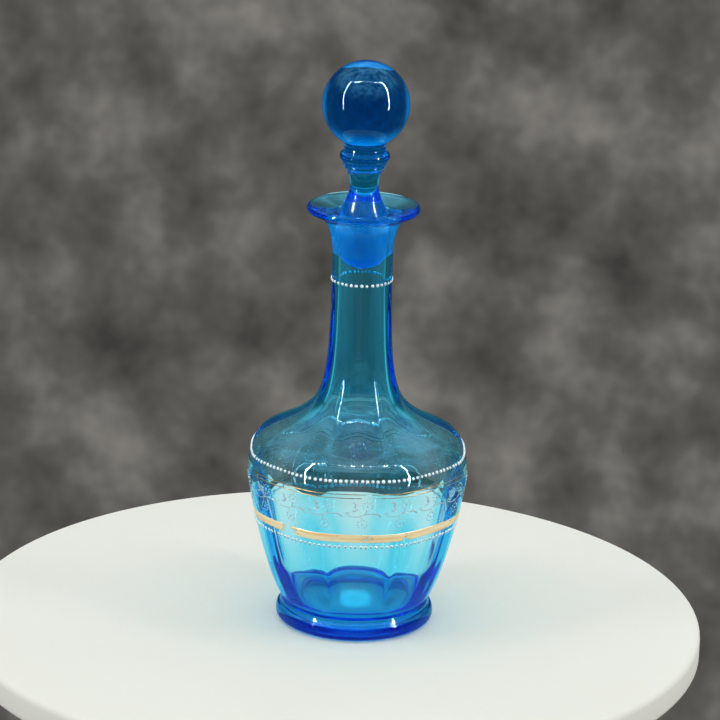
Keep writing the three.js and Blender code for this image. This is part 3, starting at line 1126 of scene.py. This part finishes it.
fineness = calc(tree, "MULTIPLY_ADD", ray["Is Camera Ray"], CLOUDS_SEEN - CLOUDS, CLOUDS)
cloud = noise(tree, way, fineness, 3, Roughness=0.58)
contrast = calc(tree, "MULTIPLY_ADD", ray["Is Transmission Ray"], -SOFTENING, 1)
blot = calc(tree, "MULTIPLY_ADD", calc(tree, "SUBTRACT", cloud, 0.5), contrast, 0.5)
cloth = ramp(tree, blot, *[(stop, scaled(CLOTH_WARMTH, grey)) for stop, grey in CLOTH_TONES])

up = eased(tree, xyz[2], *TOP_EDGE)
side_light = eased(tree, calc(tree, "ABSOLUTE", xyz[0]), *SIDE_EDGE, 0, SIDE_SHARE)
front_light = eased(tree, xyz[1], *FRONT_EDGE, 0, FRONT_SHARE)
from_front = calc(tree, "MULTIPLY", front_light, after_diffuse)
bright = calc(tree, "MAXIMUM", calc(tree, "MAXIMUM", up, side_light), from_front)
paler = blend(tree, ray["Is Transmission Ray"], cloth, CLOTH_THROUGH_GLASS, "MULTIPLY")
lighting = blend(tree, bright, paler, (*scaled(TOP_WARMTH, TOP_LIGHT), 1))
back = add(tree, "ShaderNodeBackground", Color=lighting, Strength=1)

folds = spread(tree, noise(tree, way, 4.5, 3), 0.38, 0.62, *FOLDS)
shine = blend(tree, ray["Is Glossy Ray"], cloth, CLOTH_MIRRORED, "MULTIPLY")
folded = calc(tree, "MULTIPLY", up, folds)
above = blend(tree, folded, shine, (*scaled(TOP_MIRRORED, TOP_LIGHT), 1))
seen = add(tree, "ShaderNodeBackground", Color=above, Strength=1)

lit = calc(tree, "MAXIMUM", after_diffuse, ray["Is Transmission Ray"])
chosen = add(tree, "ShaderNodeMixShader", _0=lit, _1=seen.outputs[0], _2=back.outputs[0])
out = tree.nodes.new("ShaderNodeOutputWorld")
tree.links.new(chosen.outputs[0], out.inputs[0])

# %% [markdown]
# ## Strip lamps
#
# A frame of lamps stands round the table's front: one strip on each side and
# one over the top, which bows towards the viewer and is made of short straight
# parts. Its corners were worked out from where the ball mirrors them. Curved
# glass shows the frame again and again as thin bright lines, and those lines
# are what tells the eye that the surface is glass.

# %% Strip lamps
LAMP = 1.3
BALL_HEIGHT = 0.242
CORNER_TOP = Vector((LAMP, -0.155 * LAMP, BALL_HEIGHT + 1.407 * LAMP))
CORNER_LOW = Vector((LAMP, -0.567 * LAMP, BALL_HEIGHT - 0.08 * LAMP))
BOW = Vector((0, -0.296 * LAMP, 0))
OVER_PARTS = 4
STRIP_WIDTH = 0.035
SIDE_WATTS = 6.3
OVER_WATTS = 2.4
FACED = Vector((0, 0, 0.12))
mirror = Vector((-1, 1, 1))


def strip_lamp(name, a, b, watts):
    """A long thin area lamp between two points, facing the bottle."""
    lamp = bpy.data.lights.new(name, "AREA")
    lamp.shape = "RECTANGLE"
    lamp.size = (b - a).length
    lamp.size_y = STRIP_WIDTH
    lamp.energy = watts
    obj = bpy.data.objects.new(name, lamp)
    bpy.context.scene.collection.objects.link(obj)
    middle = (a + b) / 2
    along = (b - a).normalized()
    facing = (middle - FACED).normalized()
    facing = (facing - along * facing.dot(along)).normalized()
    turn = Matrix((along, facing.cross(along), facing)).transposed()
    obj.matrix_world = Matrix.Translation(middle) @ turn.to_4x4()
    print(f"{name}: {lamp.size:.2f} m long, {watts:.1f} W")


def on_bow(share):
    """A place on the strip over the top, from its right end to its left."""
    return CORNER_TOP.lerp(CORNER_TOP * mirror, share) + BOW * (4 * share * (1 - share))


strip_lamp("lamp_right", CORNER_LOW, CORNER_TOP, SIDE_WATTS)
strip_lamp("lamp_left", CORNER_LOW * mirror, CORNER_TOP * mirror, SIDE_WATTS)
for i in range(OVER_PARTS):
    ends = on_bow(i / OVER_PARTS), on_bow((i + 1) / OVER_PARTS)
    strip_lamp(f"lamp_over_{i}", *ends, OVER_WATTS / OVER_PARTS)

# %% [markdown]
# ## The dots of the strips
#
# Seen close, such a strip is a row of small bright dots, and so are its
# glints in the glass. A tree sets one small ball on each place of the row, and
# bows the row as far as the strip. The dots are seen only in the glass, by
# reflection or through it: the strips above give the light.

# %% Dots along the strips
DOT_STRENGTH = 320
SIDE_DOT = 32
OVER_DOT = 22
STRAIGHT = Vector((0, 0, 0))

dot_glow = bpy.data.materials.new("dot_glow")
dot_glow.use_nodes = True
dot_glow.node_tree.nodes.clear()
glow = add(
    dot_glow.node_tree, "ShaderNodeEmission", Color=(0.95, 0.98, 1, 1), Strength=DOT_STRENGTH
)
out = dot_glow.node_tree.nodes.new("ShaderNodeOutputMaterial")
dot_glow.node_tree.links.new(glow.outputs[0], out.inputs["Surface"])


def dot_row_tree():
    tree, given = new_tree(
        "row_of_dots",
        Count=("Int", 30),
        Start=("Vector", (0, 0, 0)),
        End=("Vector", (1, 0, 0)),
        Bow=("Vector", (0, 0, 0)),
        Dot=("Float", 5 * MM),
        Material=("Material", None),
    )
    line = add(
        tree,
        "GeometryNodeMeshLine",
        {"mode": "END_POINTS"},
        Count=given["Count"],
        Start_Location=given["Start"],
        Offset=given["End"],
    )
    index = add(tree, "GeometryNodeInputIndex").outputs[0]
    share = calc(tree, "DIVIDE", index, calc(tree, "SUBTRACT", given["Count"], 1))
    arch = calc(tree, "MULTIPLY", share, calc(tree, "SUBTRACT", 1, share))
    out = vector(tree, "SCALE", given["Bow"], Scale=calc(tree, "MULTIPLY", arch, 4))
    bowed = add(tree, "GeometryNodeSetPosition", Geometry=line.outputs[0], Offset=out)
    dot_ball = add(tree, "GeometryNodeMeshIcoSphere", Radius=given["Dot"], Subdivisions=1)
    dots = add(
        tree,
        "GeometryNodeInstanceOnPoints",
        Points=bowed.outputs[0],
        Instance=dot_ball.outputs["Mesh"],
    )
    end_tree(tree, dots.outputs[0], given["Material"])
    return tree


dot_rows = dot_row_tree()
DOT_ROWS = [
    ("dots_right", 20, CORNER_LOW, CORNER_TOP, STRAIGHT, SIDE_DOT),
    ("dots_left", 20, CORNER_LOW * mirror, CORNER_TOP * mirror, STRAIGHT, SIDE_DOT),
    ("dots_over", 32, CORNER_TOP * mirror, CORNER_TOP, BOW, OVER_DOT),
]
for name, count, a, b, bow, dot_size in DOT_ROWS:
    row = new_object(name)
    grown(
        row,
        dot_rows,
        Count=count,
        Start=a,
        End=b,
        Bow=bow,
        Dot=dot_size * MM,
        Material=dot_glow,
    )
    row.visible_camera = False
    row.visible_diffuse = False
    row.visible_shadow = False
    print(name, len(row.data.polygons), "faces")

# %% [markdown]
# ## Camera
#
# A long lens, a metre and a half away and looking down by 17 degrees, tilted
# by little more than a degree.

# %% Camera
LENS = 173.27
CAMERA_PLACE = (0, -1.5, 0.5891)
LOOKS_DOWN = 17.24
TILT = 1.38

camera = bpy.data.objects.new("camera", bpy.data.cameras.new("camera"))
bpy.context.scene.collection.objects.link(camera)
camera.data.sensor_width = 36
camera.data.lens = LENS
pitch = Matrix.Rotation(math.radians(90 - LOOKS_DOWN), 4, "X")
roll = Matrix.Rotation(math.radians(TILT), 4, "Z")
camera.matrix_world = Matrix.Translation(CAMERA_PLACE) @ pitch @ roll
bpy.context.scene.camera = camera
bpy.context.scene.view_settings.view_transform = "Standard"

# %% [markdown]
# ## Bounces
#
# A ray crosses many faces of glass here before it reaches the table or the
# cloth, and it needs a bounce for each, or the glass turns black.

# %% Bounces
BOUNCES = 32

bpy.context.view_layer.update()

cycles = bpy.context.scene.cycles
cycles.max_bounces = BOUNCES
cycles.glossy_bounces = BOUNCES
cycles.transmission_bounces = BOUNCES
